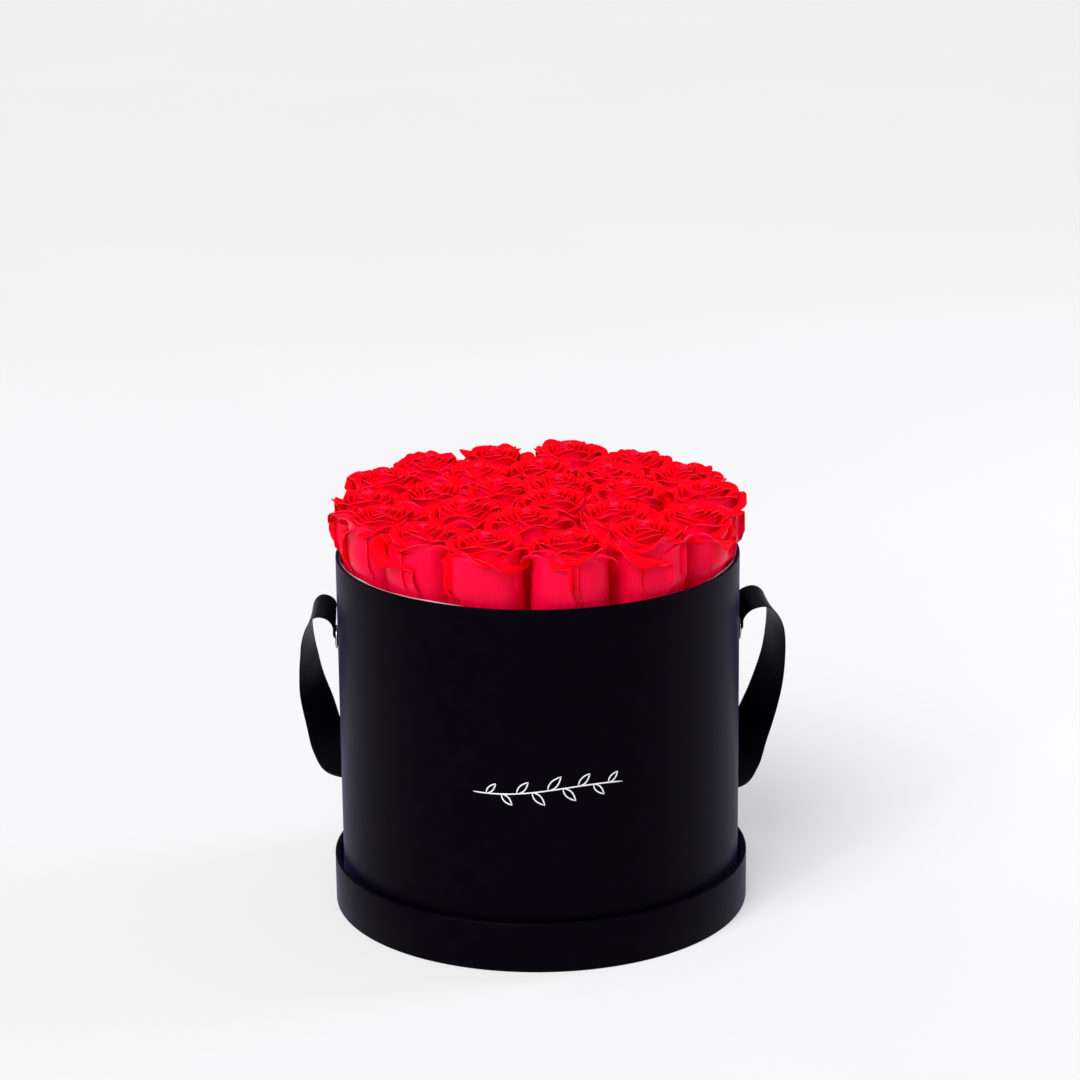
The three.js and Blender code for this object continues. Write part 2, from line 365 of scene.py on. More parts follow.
def stem_material():
    """Rose stem and sepals: mid green with fine length-wise streaks."""
    look = Look("rose_green")
    streak = look.noise(look.object_place(), scale=220, detail=4, stretch=(1, 1, 0.08))
    stops = [(0.3, (0.012, 0.05, 0.01)), (0.7, (0.05, 0.13, 0.025))]
    look.feed("Base Color", look.ramp(streak, stops))
    look.bump(streak, strength=0.3, distance=0.0004)
    look.set(Roughness=0.5)
    return look.material


def satin_material():
    """Black satin ribbon: ribs across it, long floats along it, a soft navy sheen."""
    look = Look("satin_ribbon")
    place = look.uv_place()
    ribs = look.nodes.new("ShaderNodeTexWave")
    ribs.bands_direction = "Y"
    set_sockets(ribs, Scale=260, Distortion=0.6, Detail=1)
    look.link(place, ribs.inputs["Vector"])
    floats = look.noise(place, scale=1, stretch=(60, 900, 1))
    stops = [(0.25, (0.0008, 0.0007, 0.0018)), (0.8, (0.002, 0.002, 0.005))]
    look.feed("Base Color", look.ramp(floats, stops))
    look.feed("Roughness", look.spread(floats, 0.3, 0.46))
    look.bump(ribs.outputs["Fac"], strength=0.2, distance=0.00012)
    look.set(Specular_IOR_Level=0.06, Anisotropic=0.5)
    look.set(Sheen_Weight=0.02, Sheen_Roughness=0.4, Sheen_Tint=(0.4, 0.4, 1.0))
    return look.material


def nickel_material():
    """Plated metal with fine turning marks and faint smudges."""
    look = Look("nickel")
    place = look.object_place()
    smudge = look.noise(place, scale=400)
    stops = [(0.3, (0.5, 0.47, 0.43)), (0.7, (0.66, 0.64, 0.6))]
    look.feed("Base Color", look.ramp(smudge, stops))
    look.feed("Roughness", look.spread(smudge, 0.16, 0.34))
    marks = look.noise(place, scale=3000, detail=2)
    look.bump(marks, strength=0.08, distance=0.00005)
    look.set(Metallic=1.0)
    return look.material


def film_material():
    """Clear florist's film with soft crinkles."""
    look = Look("clear_film")
    crinkle = look.noise(look.object_place(), scale=70, detail=4)
    stops = [(0.3, (0.72, 0.75, 0.8)), (0.7, (0.9, 0.92, 0.94))]
    look.feed("Base Color", look.ramp(crinkle, stops))
    look.bump(crinkle, strength=0.6, distance=0.002)
    look.set(Roughness=0.15, Alpha=0.45)
    return look.material


def foam_material():
    """Wet floral foam: dark green, full of fine pores, with painted shade in their hollows."""
    look = Look("floral_foam")
    pores = look.nodes.new("ShaderNodeTexVoronoi")
    set_sockets(pores, Scale=900)
    look.link(look.object_place(), pores.inputs["Vector"])
    depth = pores.outputs["Distance"]
    # painted shade: the colour is darker where the pores sink in
    stops = [(0.1, (0.008, 0.03, 0.012)), (0.6, (0.035, 0.12, 0.05))]
    look.feed("Base Color", look.ramp(depth, stops))
    look.bump(depth, strength=0.8, distance=0.0006)
    look.set(Roughness=0.9)
    return look.material


def print_material():
    """Pale screen print, very slightly uneven."""
    look = Look("pale_print")
    uneven = look.noise(look.object_place(), scale=900)
    stops = [(0.3, (0.72, 0.72, 0.74)), (0.6, (0.88, 0.88, 0.9))]
    look.feed("Base Color", look.ramp(uneven, stops))
    look.set(Roughness=0.55)
    return look.material


BOARD = board_material(
    "black_cover_paper",
    dark=(0.0006, 0.0002, 0.0014),
    light=(0.0014, 0.0008, 0.0026),
    roughness=0.42,
)
SATIN = satin_material()
NICKEL = nickel_material()
CRIMSON = (0.76, 0.0003, 0.030)
ROSE_RED = (0.92, 0.0002, 0.005)
# The highlight colours below are painted highlights, mixed into the petals' base colour in streaks
PETAL_OUTSIDE = petal_material(
    "petal_outside",
    stops=[(0.1, (0.56, 0.0004, 0.03)), (0.45, CRIMSON), (0.6, (0.86, 0.0003, 0.034))],
    painted_highlight=(1.0, 0.008, 0.095),
    roughness=0.32,
    sheen=0.02,
    gloss=0.05,
)
PETAL_INSIDE = petal_material(
    "petal_inside",
    stops=[(0.3, (0.62, 0.0002, 0.002)), (0.55, ROSE_RED), (1.0, (0.95, 0.0003, 0.006))],
    painted_highlight=(1.0, 0.001, 0.032),
    roughness=0.6,
    sheen=0.04,
    gloss=0.015,
)
PETAL_EDGE = petal_edge_material()
GREEN = stem_material()


def finish_piece(piece, body, material, nodes=()):
    """Gives a new piece its material and body, and hides the CAD nodes that it stands for."""
    piece.data.materials.append(material)
    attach(piece, body)
    if nodes:
        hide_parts(*nodes)
    return piece


# ---------------------------------------------------------------- board parts

SEAM_RISE = 0.22
SEAM_WIDTH = 7.0
SEAM_STEP_SHARPNESS = 9
SEAM_FADE_SHARPNESS = 1.2
WALL_SEGMENTS = 192
BACK = math.pi / 2
WALL_LIP = 0.55
WALL_FOOT_BEVEL = 0.5
RIM_ROUNDING = 0.7
WALL_FIRST_ROW = WALL_BOTTOM + 0.6
WALL_LAST_ROW = WALL_TOP - 0.7
# The wall's mesh has a block of this many cells each way round an eyelet, which its hole replaces
HOLE_CELLS = 4
BLOCK_STEPS = range(-(HOLE_CELLS // 2), HOLE_CELLS // 2 + 1)


def seam_rise(angles, radius):
    """How far the lapped end of the cover paper stands out, at the middle of the back."""
    across = (angles - BACK) * radius
    step = 1 / (1 + np.exp(-across * SEAM_STEP_SHARPNESS))
    fade = 1 / (1 + np.exp((across - SEAM_WIDTH) * SEAM_FADE_SHARPNESS))
    return SEAM_RISE * step * fade


def wall_rows():
    """Heights of the wall's rings, with even rows round the eyelets."""
    step = TAU * WALL_RADIUS / WALL_SEGMENTS
    eyelet_rows = [EYELET_Z + i * step for i in BLOCK_STEPS]
    lower = np.linspace(WALL_FIRST_ROW, eyelet_rows[0], 8)[:-1]
    upper = np.linspace(eyelet_rows[-1], WALL_LAST_ROW, 4)[1:]
    return np.array([*lower, *eyelet_rows, *upper])


def wall_outline(heights):
    """The wall's section as (distance out from its outside, z): up outside, over the top, down inside."""
    turn = np.linspace(0, math.pi / 2, 5)[1:]
    drop = [1 - math.cos(a) for a in turn]
    rise = [1 - math.sin(a) for a in turn]
    outside = [(0.0, z) for z in heights]
    top_out = [(-WALL_LIP * d, WALL_TOP - WALL_LIP * r) for d, r in zip(drop, rise)]
    top_in = [(-WALL_THICKNESS + WALL_LIP * r, WALL_TOP - WALL_LIP * d) for d, r in zip(drop, rise)]
    inside = [(-WALL_THICKNESS, z) for z in heights[::-1]]
    foot = [(-WALL_THICKNESS + WALL_FOOT_BEVEL, WALL_BOTTOM), (-WALL_FOOT_BEVEL, WALL_BOTTOM)]
    inside_first = len(outside) + len(top_out) + len(top_in)
    return np.array([*outside, *top_out, *top_in, *inside, *foot]), inside_first


def wall_tube(outline):
    """The outline turned about Z, with the seam's rise on its outside."""
    angles = np.arange(WALL_SEGMENTS) * TAU / WALL_SEGMENTS
    is_outside = outline[:, 0] > -WALL_THICKNESS / 2
    rise = seam_rise(angles, WALL_RADIUS)[:, None] * is_outside
    radius = WALL_RADIUS + outline[:, 0] + rise
    x, y = polar(angles[:, None], radius)
    z = np.broadcast_to(outline[:, 1], radius.shape)
    points = np.stack([x, y, z], axis=-1).reshape(-1, 3)
    return points, grid_faces(WALL_SEGMENTS, len(outline), wrap_rows=True, wrap_columns=True)


def border_of_block(spans, rows, columns):
    """The points round a block of the wall's mesh, in order, and all the points in it, by number."""
    last = HOLE_CELLS
    border = [(a, 0) for a in range(last)] + [(last, b) for b in range(last)]
    border += [(last - a, last) for a in range(last)] + [(0, last - b) for b in range(last)]
    block = {span * columns + row for span in spans for row in rows}
    return [spans[a] * columns + rows[b] for a, b in border], block


def cut_round_hole(points, faces, side, depth, spans, rows, columns):
    """Puts a round hole in one skin of the wall; returns the faces and the hole's edge."""
    border, block = border_of_block(spans, rows, columns)
    faces = [f for f in faces if not all(v in block for v in f)]
    edge = []
    for number in border:
        y, z = points[number][1], points[number][2] - EYELET_Z
        scale = EYELET_HOLE / math.hypot(y, z)
        y, z = y * scale, z * scale
        x = side * math.sqrt((WALL_RADIUS - depth) ** 2 - y * y)
        edge.append(len(points))
        points.append(np.array([x, y, z + EYELET_Z]))
    faces += band_between(border, edge)
    return faces, edge


def band_between(first, second):
    """Quads between two closed rings of point numbers."""
    following = [(i, (i + 1) % len(first)) for i in range(len(first))]
    return [(first[i], first[j], second[j], second[i]) for i, j in following]


def build_wall():
    """The box wall: a tube with rounded edges, a lapped seam at the back and two round eyelet holes."""
    heights = wall_rows()
    outline, inside_first = wall_outline(heights)
    columns = len(outline)
    points, faces = wall_tube(outline)
    points = list(points)
    middle_row = int(np.argmin(abs(heights - EYELET_Z)))
    outside_rows = [middle_row + i for i in BLOCK_STEPS]
    inside_rows = [inside_first + len(heights) - 1 - row for row in outside_rows]
    for middle, side in ((0, 1), (WALL_SEGMENTS // 2, -1)):
        spans = [(middle + i) % WALL_SEGMENTS for i in BLOCK_STEPS]
        faces, outer_edge = cut_round_hole(points, faces, side, 0.0, spans, outside_rows, columns)
        faces, inner_edge = cut_round_hole(points, faces, side, WALL_THICKNESS, spans, inside_rows, columns)
        faces += band_between(outer_edge, inner_edge)
    wall = make_piece("box_wall_paper", points, faces)
    fix_normals(wall)
    return finish_piece(wall, "box", BOARD, ["box_wall"])


def build_lid_rim():
    """The lid's rim: board under cover paper that is turned over the edge, with its own lapped seam."""
    inner = LID_RADIUS - RIM_THICKNESS
    corners = [(inner, 0), (LID_RADIUS, 0), (LID_RADIUS, LID_HEIGHT), (inner, LID_HEIGHT)]
    rim = turned_piece("lid_rim_paper", rounded_loop(corners, RIM_ROUNDING), WALL_SEGMENTS)
    places = point_places(rim)
    angle = np.arctan2(places[:, 1], places[:, 0])
    radius = np.hypot(places[:, 0], places[:, 1])
    is_outside = radius > LID_RADIUS - RIM_THICKNESS / 2
    grown = radius + np.where(is_outside, seam_rise(angle, LID_RADIUS), 0)
    places[:, :2] *= (grown / radius)[:, None]
    move_points(rim, places)
    fix_normals(rim)
    return finish_piece(rim, "lid", BOARD, ["lid_rim"])


def dress_cad_nodes():
    """CAD nodes whose shape is right keep it and get a detailed material."""
    looks = {
        "lid_panel": BOARD,
        "box_bottom": BOARD,
        "floral_foam": foam_material(),
        "washer_left": NICKEL,
        "washer_right": NICKEL,
    }
    for name, material in looks.items():
        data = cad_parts[name].data
        data.materials.clear()
        data.materials.append(material)


# ---------------------------------------------------------------- film liner

FILM_SEGMENTS = 240
FILM_LOWER_ROWS = 10
FILM_UPPER_ROWS = 16
FILM_NARROW_RADIUS = 100.0
FILM_SHOULDER_Z = 168.0
FILM_FLARE_Z = 178.0
FILM_MOUTH_RADIUS = WALL_RADIUS - WALL_THICKNESS - 0.25
FILM_TOP_Z = WALL_TOP - 0.2
FILM_THICKNESS = 0.15


def film_radius(angles, z):
    """How far the film is from the axis at one height, with crinkles that go up it a little askew."""
    open_share = (z - FILM_SHOULDER_Z) / (FILM_FLARE_Z - FILM_SHOULDER_Z)
    radius = FILM_NARROW_RADIUS + (FILM_MOUTH_RADIUS - FILM_NARROW_RADIUS) * eased(open_share)
    coarse = 0.18 * np.sin(angles * 23 + z * 0.11)
    fine = 0.12 * np.sin(angles * 41 - z * 0.07 + 1.3)
    return radius - 0.35 + coarse + fine


def build_film():
    """The clear film cup: narrow inside the box, open at its mouth, with a wavy edge."""
    angles = np.arange(FILM_SEGMENTS) * TAU / FILM_SEGMENTS
    lower = np.linspace(FILM_LOW_Z, FILM_SHOULDER_Z, FILM_LOWER_ROWS)
    upper = np.linspace(FILM_SHOULDER_Z + 2, FILM_TOP_Z, FILM_UPPER_ROWS)
    rows = []
    for z in (*lower, *upper):
        x, y = polar(angles, film_radius(angles, z))
        near_top = np.clip((z - FILM_FLARE_Z) / 20, 0, 1)
        wave = 0.5 * np.sin(angles * 3 + 2.2) + 0.25 * np.sin(angles * 11) - 0.3
        rows.append(np.stack([x, y, z + near_top * wave], axis=-1))
    faces = grid_faces(len(rows), FILM_SEGMENTS, wrap_columns=True)
    faces.append(tuple(range(FILM_SEGMENTS))[::-1])
    film = make_piece("clear_film_liner", np.concatenate(rows), faces)
    add_thickness(film, FILM_THICKNESS)
    return finish_piece(film, "box", film_material(), ["film_liner"])


# ---------------------------------------------------------------- eyelets and knots

EYELET_LIP_RADIUS = 6.0
EYELET_LIP_DEPTH = 0.6
EYELET_BARREL = 4.8
EYELET_FLANGE_DEPTH = 1.1
EYELET_FLANGE_EDGE = 0.55
EYELET_CREST = 5.4
EYELET_ROUNDING = 0.45
EYELET_SEGMENTS = 64
KNOT_STEPS = 120
KNOT_AROUND = 10
KNOT_HALF_WIDTH = 2.0
KNOT_HALF_THICKNESS = 0.95
KNOT_MARGIN = 2.2
KNOT_DEPTH_SHARE = 0.55
KNOT_RIBBON_LENGTH = 60
TREFOIL_REACH = 2.9


def build_eyelet(name, side):
    """An eyelet with a domed, rolled flange outside and a rolled lip inside."""
    lip_end = EYELET_INNER_X + EYELET_LIP_DEPTH
    flange = EYELET_OUTER_X - EYELET_FLANGE_DEPTH
    corners = [
        (EYELET_BORE, EYELET_INNER_X),
        (EYELET_LIP_RADIUS, EYELET_INNER_X),
        (EYELET_LIP_RADIUS, lip_end),
        (EYELET_BARREL, lip_end),
        (EYELET_BARREL, flange),
        (EYELET_FLANGE, flange),
        (EYELET_FLANGE, flange + EYELET_FLANGE_EDGE),
        (EYELET_CREST, EYELET_OUTER_X),
        (EYELET_BORE, EYELET_OUTER_X),
    ]
    piece = turned_piece(name, rounded_loop(corners, EYELET_ROUNDING, 4), EYELET_SEGMENTS)
    x, y, z = point_places(piece).T
    move_points(piece, np.stack([side * z, y, EYELET_Z - side * x], axis=-1))
    fix_normals(piece)
    return piece


def knot_path(half):
    """The knot's middle line: a trefoil that fits in a box with the given half sizes."""
    t = np.arange(KNOT_STEPS) * TAU / KNOT_STEPS
    x = KNOT_DEPTH_SHARE * half[0] * np.sin(3 * t)
    y = (half[1] - KNOT_MARGIN) * (np.sin(t) + 2 * np.sin(2 * t)) / TREFOIL_REACH
    z = (half[2] - KNOT_MARGIN) * (np.cos(t) - 2 * np.cos(2 * t)) / TREFOIL_REACH
    return np.stack([x, y, z], axis=-1)


def build_knot(name, side):
    """A flattened overhand knot: a ribbon-like tube along a trefoil."""
    low, high = node_box("strap_knot_right")
    path = knot_path((high - low) / 2)
    tangent = unit(np.roll(path, -1, axis=0) - np.roll(path, 1, axis=0))
    across = unit(np.cross(tangent, (1.0, 0, 0)))
    up = np.cross(tangent, across)
    turns = np.arange(KNOT_AROUND) * TAU / KNOT_AROUND
    wide = across[:, None] * (KNOT_HALF_WIDTH * np.cos(turns))[:, None]
    thick = up[:, None] * (KNOT_HALF_THICKNESS * np.sin(turns))[:, None]
    points = (path[:, None] + wide + thick).reshape(-1, 3)
    points += np.array([(low[0] + high[0]) / 2, 0, EYELET_Z])
    points[:, 0] *= side
    faces = grid_faces(KNOT_STEPS, KNOT_AROUND, wrap_rows=True, wrap_columns=True)
    uv_across = np.tile(np.arange(KNOT_AROUND) / KNOT_AROUND, KNOT_STEPS)
    uv_along = np.repeat(np.arange(KNOT_STEPS) / KNOT_STEPS, KNOT_AROUND) * KNOT_RIBBON_LENGTH * MM
    knot = make_piece(name, points, faces, np.stack([uv_across, uv_along], axis=-1))
    fix_normals(knot)
    return knot


def build_fastenings():
    """The eyelets, and the knots that hold the ribbon's ends inside them."""
    for name, side in (("left", -1), ("right", 1)):
        eyelet = build_eyelet(f"nickel_eyelet_{name}", side)
        finish_piece(eyelet, "box", NICKEL, [f"eyelet_{name}"])
        knot = build_knot(f"ribbon_knot_{name}", side)
        finish_piece(knot, "strap", SATIN, [f"strap_knot_{name}"])


# ---------------------------------------------------------------- ribbon strap

# Half of the strap, from the eyelet to the middle of the back: lower edge, then upper edge, in mm
HALF_STRAP = np.array([
    [[106, -3.5, 152], [106, 3.5, 152]],
    [[109, -3.5, 152], [109, 3.5, 152]],
    [[112, -3.5, 152.6], [112, 3.5, 152.6]],
    [[112.6, -6, 158.5], [111.6, 7, 162]],
    [[117.2, -9, 164.2], [111.6, 12, 168.5]],
    [[125, -8, 165], [119, 14.5, 171]],
    [[131, -4, 159], [125, 18, 166.5]],
    [[135, 0, 149], [127.5, 22, 156]],
    [[136.3, 5, 136], [127, 26.5, 143]],
    [[135.5, 11, 121], [124.8, 30, 130]],
    [[132.6, 20, 102], [120, 37, 113]],
    [[129.3, 30, 82], [114, 44, 95]],
    [[126, 43, 61], [110, 51, 77]],
    [[118.5, 59, 43], [105, 62, 62]],
    [[98, 82, 31], [89, 80, 53]],
    [[73, 98, 24], [68, 96, 48]],
    [[49, 110, 21], [45, 108, 45]],
    [[25, 117, 20], [23, 115, 44]],
    [[0, 119, 20], [0, 118, 44]],
], float)
RIBBON_WIDTH = 24.0
RIBBON_THICKNESS = 0.35
RIBBON_POINTS_ACROSS = 33
RIBBON_SAMPLES = 9
PLEATS = 3
PLEAT_START_SQUEEZE = 0.12
PLEAT_FADE_SQUEEZE = 0.5
PLEAT_GAIN = 1.9
PLEAT_LIMIT = 1.6
PLEAT_FLAT_DEPTH = 1.7
# From this place outwards the pleats shrink, over this distance, and to no less than this share
PLEAT_OUTSIDE_X = EYELET_OUTER_X - 0.8
PLEAT_OUTSIDE_FADE = 1.2
PLEAT_OUTSIDE_SHARE = 0.3
CUPPING = 0.7
RIPPLE = 0.25
# The loop hangs a little askew: lower on the right, by this share of the distance from the middle
STRAP_TILT = 0.06
STRAP_TILT_TOP = 150.0
STRAP_TILT_FADE = 40.0
# The left arch stands out less from the wall: this share of its reach beyond a start is taken away
LEFT_TIGHTER = 0.25
LEFT_TIGHTER_START_X = 112.0
LEFT_TIGHTER_BOTTOM = 95.0
LEFT_TIGHTER_FADE = 35.0


def smooth_curve(points, samples):
    """A Catmull-Rom curve through the points, with that many samples in each gap."""
    before_first = 2 * points[0] - points[1]
    after_last = 2 * points[-1] - points[-2]
    padded = np.concatenate([[before_first], points, [after_last]])
    out = []
    for i in range(len(points) - 1):
        p0, p1, p2, p3 = padded[i : i + 4]
        slope = p2 - p0
        curve = 2 * p0 - 5 * p1 + 4 * p2 - p3
        twist = 3 * p1 - p0 - 3 * p2 + p3
        for s in np.arange(samples) / samples:
            out.append(0.5 * (2 * p1 + slope * s + curve * s**2 + twist * s**3))
    return np.array([*out, points[-1]])


def strap_edges():
    """The whole strap's lower and upper edge, from the right eyelet round the back to the left one."""
    left = HALF_STRAP[:-1][::-1].copy()
    fade = np.clip((left[..., 2] - LEFT_TIGHTER_BOTTOM) / LEFT_TIGHTER_FADE, 0, 1)
    reach = np.maximum(left[..., 0] - LEFT_TIGHTER_START_X, 0)
    left[..., 0] = LEFT_TIGHTER * fade * reach - left[..., 0]
    whole = np.concatenate([HALF_STRAP, left])
    hanging = np.clip((STRAP_TILT_TOP - whole[..., 2]) / STRAP_TILT_FADE, 0, 1)
    whole[..., 2] -= STRAP_TILT * hanging * whole[..., 0]
    return smooth_curve(whole[:, 0], RIBBON_SAMPLES), smooth_curve(whole[:, 1], RIBBON_SAMPLES)


def pleat_depth(width, middle):
    """How deep the pleats are where the ribbon is gathered to less than its width."""
    squeeze = np.maximum(RIBBON_WIDTH / np.maximum(width, 1) - 1.0, 0)
    gathered = np.clip((squeeze - PLEAT_START_SQUEEZE) / PLEAT_FADE_SQUEEZE, 0, 1)
    taken_up = width / PLEATS / TAU * PLEAT_GAIN * np.sqrt(squeeze * (squeeze + 2))
    outside = np.abs(middle[:, 0]) - PLEAT_OUTSIDE_X
    kept = np.clip(1 - outside / PLEAT_OUTSIDE_FADE, PLEAT_OUTSIDE_SHARE, 1)
    return gathered * np.minimum(taken_up, PLEAT_LIMIT) * kept


def ribbon_relief(share, depth, length):
    """How far the ribbon stands out of its plain sheet: pleated, or loose with a slight cup and ripple."""
    wave = depth * np.sin(share * PLEATS * TAU)
    loose = 1 - np.minimum(depth / PLEAT_FLAT_DEPTH, 1)
    cupping = loose * CUPPING * (share * 2) ** 2
    ripple = loose * RIPPLE * np.sin(length * 0.09 + share * 2.4)
    return wave + cupping + ripple


def build_ribbon():
    """The strap: one satin ribbon, gathered at the eyelets and open round the back."""
    low, high = strap_edges()
    middle = (low + high) / 2
    span = high - low
    normal = unit(np.cross(np.gradient(middle, axis=0), span))
    steps = np.linalg.norm(np.diff(middle, axis=0), axis=1)
    length = np.concatenate([[0], np.cumsum(steps)])
    depth = pleat_depth(np.linalg.norm(span, axis=1), middle)
    share = np.linspace(-0.5, 0.5, RIBBON_POINTS_ACROSS)
    relief = ribbon_relief(share, depth[:, None], length[:, None])
    flat = middle[:, None] + share[:, None] * span[:, None]
    points = (flat + relief[..., None] * normal[:, None]).reshape(-1, 3)
    uv_across = np.tile(share + 0.5, len(length))
    uv_along = np.repeat(length * MM, RIBBON_POINTS_ACROSS)
    faces = grid_faces(len(length), RIBBON_POINTS_ACROSS)
    ribbon = make_piece("satin_ribbon_strap", points, faces, np.stack([uv_across, uv_along], axis=-1))
    add_thickness(ribbon, RIBBON_THICKNESS)
    ribbon.data.materials.append(SATIN)
    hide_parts("ribbon_strap")
    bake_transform(ribbon)
    return ribbon


# ---------------------------------------------------------------- leaf sprig print

PRINT_Z = 100.5
PRINT_HALF_WIDTH = 40.0
PRINT_STROKE = 0.7
PRINT_PROUD = 0.07
PRINT_THICKNESS = 0.04
STEM_BOW = 2.2
LEAF_COUNT = 9
LEAF_LENGTH = 10.5
LEAF_SHORTENING = 3.5
LEAF_WIDTH_SHARE = 0.36
LEAF_ANGLE = 0.82


def stroke(points):
    """A flat band along a line of (across, up) points, narrower at its ends, wrapped on the wall's front."""
    points = np.asarray(points, float)
    along = unit(np.gradient(points, axis=0))
    side = np.stack([-along[:, 1], along[:, 0]], axis=-1)
    number = np.arange(len(points))
    from_end = np.minimum(number, number[::-1])
    taper = np.minimum(1, from_end * 0.3 + 0.35)[:, None]
    half = side * PRINT_STROKE / 2 * taper
    band = np.stack([points + half, points - half], axis=1).reshape(-1, 2)
    x, y = polar(band[:, 0] / WALL_RADIUS - math.pi / 2, WALL_RADIUS + PRINT_PROUD)
    return np.stack([x, y, band[:, 1] + PRINT_Z], axis=-1), grid_faces(len(points), 2)


def leaf_outline(root, direction, length, width):
    """A pointed leaf that starts at root and goes along direction (an angle)."""
    t = np.linspace(0, 1, 15)
    swell = width / 2 * np.sin(math.pi * t**0.85)
    along = np.array([math.cos(direction), math.sin(direction)])
    side = np.array([-along[1], along[0]])
    upper = root + np.outer(t * length, along) + np.outer(swell, side)
    lower = root + np.outer(t * length, along) - np.outer(swell, side)
    return upper, lower


def sprig_height(place):
    """How high the sprig's stem is at a place from -1 (its left end) to 1 (its right end)."""
    return STEM_BOW * np.sin(place * 2.2)


def sprig_lines():
    """The sprig's lines as (across, up) points: a gently curved stem, then leaves on both sides in turn."""
    place = np.linspace(-1, 1, 60)
    lines = [np.stack([place * PRINT_HALF_WIDTH, sprig_height(place)], axis=-1)]
    for i, place in enumerate(np.linspace(-0.82, 0.8, LEAF_COUNT)):
        root = np.array([place * PRINT_HALF_WIDTH, sprig_height(place)])
        up = 1 if i % 2 == 0 else -1
        length = LEAF_LENGTH - LEAF_SHORTENING * abs(place)
        lines.extend(leaf_outline(root, up * LEAF_ANGLE, length, length * LEAF_WIDTH_SHARE))
    return lines


def build_print():
    """A thin-line leaf sprig, with no lettering."""
    points, faces = joined(stroke(line) for line in sprig_lines())
    sprig = make_piece("leaf_sprig_print", points, faces)
    add_thickness(sprig, PRINT_THICKNESS)
    return finish_piece(sprig, "box", print_material())


# ---------------------------------------------------------------- roses

HEAD_BASE = 168.0
RIM_LIMIT = WALL_RADIUS - WALL_THICKNESS - 1.3
FLARE_LIMIT = 113.5
FLARE_START = 1.0
LEAN = 0.07
OUTER_HEAD_PLACE = 75.0
CELL_POWER = 7
FREE_RADIUS = 22.5
INNER_RADIUS = 18.6
NEIGHBOUR_LAP = 1.0
ACROSS = 15
SHEATH_ACROSS = 25
SIDE_CROWDING = 1.25
ROLL_START = 0.82
ROLL_ANGLE = math.radians(195)
ROLL_FLARE = 2.5
ROLL_RISE = 7.0
LIP_ROWS = 7
SHEATH_ROWS = np.array([0, 0.12, 0.24, 0.36, 0.48, 0.6, 0.7, 0.8, 0.9, 1.0])
HIDDEN_ROWS = np.array([0, 0.45, 0.7, 0.85, 1.0])
SHEATH_BELLY = 0.9
PETAL_THICKNESS = 0.3
RING_TURN = 2.4
SEED = 500

# Rings of petals, from the heart outwards. half_angle and lip_angle are in degrees, belly and neck are
# shares of the space for the head, drop is the edge's height below the top, lip is a length, and
# one_sided says how much more one side of the lip folds than the other
PetalRing = namedtuple("PetalRing", "count half_angle belly neck drop lip lip_angle one_sided")
PETAL_RINGS = [
    PetalRing(2, 110, 0.24, 0.15, 0.4, 2.2, 52, 0.1),
    PetalRing(3, 84, 0.36, 0.26, 0.9, 3.2, 66, 0.2),
    PetalRing(3, 84, 0.49, 0.38, 1.6, 4.0, 76, 0.3),
    PetalRing(3, 86, 0.62, 0.51, 2.3, 4.8, 84, 0.4),
    PetalRing(4, 66, 0.74, 0.64, 3.2, 5.4, 92, 0.4),
    PetalRing(4, 70, 0.85, 0.77, 4.5, 6.0, 100, 0.5),
    PetalRing(4, 68, 0.93, 0.88, 6.4, 6.8, 116, 0.8),
    PetalRing(3, 80, 0.985, 0.945, 9.0, 9.0, 150, 1.0),
]


def rose_centres():
    """The middle and the top of each head."""
    centres = []
    for name in ROSE_NAMES:
        low, high = node_box(name)
        centres.append([(low[0] + high[0]) / 2, (low[1] + high[1]) / 2, high[2]])
    return np.array(centres)


def wall_limit(z):
    """How far from the box's axis petals may reach: inside the wall, and a little over its rim."""
    return RIM_LIMIT + (FLARE_LIMIT - RIM_LIMIT) * eased((z - WALL_TOP - FLARE_START) / 9)


def head_lean(centre):
    """How much an outer head leans outwards, as a share of its height."""
    return LEAN * np.clip((np.linalg.norm(centre[:2]) - 60) / 30, 0, 1)


def space_round(index, centres, angles, z):
    """How far a head may reach in each direction before it meets its neighbours or the wall."""
    centre = centres[index][:2]
    moved = np.linalg.norm(centre) + head_lean(centre) * z
    from_outward = angles - math.atan2(centre[1], centre[0])
    limit = wall_limit(z + HEAD_BASE)
    to_wall = np.sqrt(limit**2 - (moved * np.sin(from_outward)) ** 2) - moved * np.cos(from_outward)
    total = FREE_RADIUS ** -CELL_POWER + np.maximum(to_wall, 5) ** -CELL_POWER
    for j, other in enumerate(centres):
        if j == index:
            continue
        away = other[:2] - centre
        facing = np.cos(angles - math.atan2(away[1], away[0]))
        reach = (np.linalg.norm(away) + NEIGHBOUR_LAP) / 2 / np.maximum(facing, 0.12)
        total = total + reach ** -CELL_POWER
    return total ** (-1 / CELL_POWER)


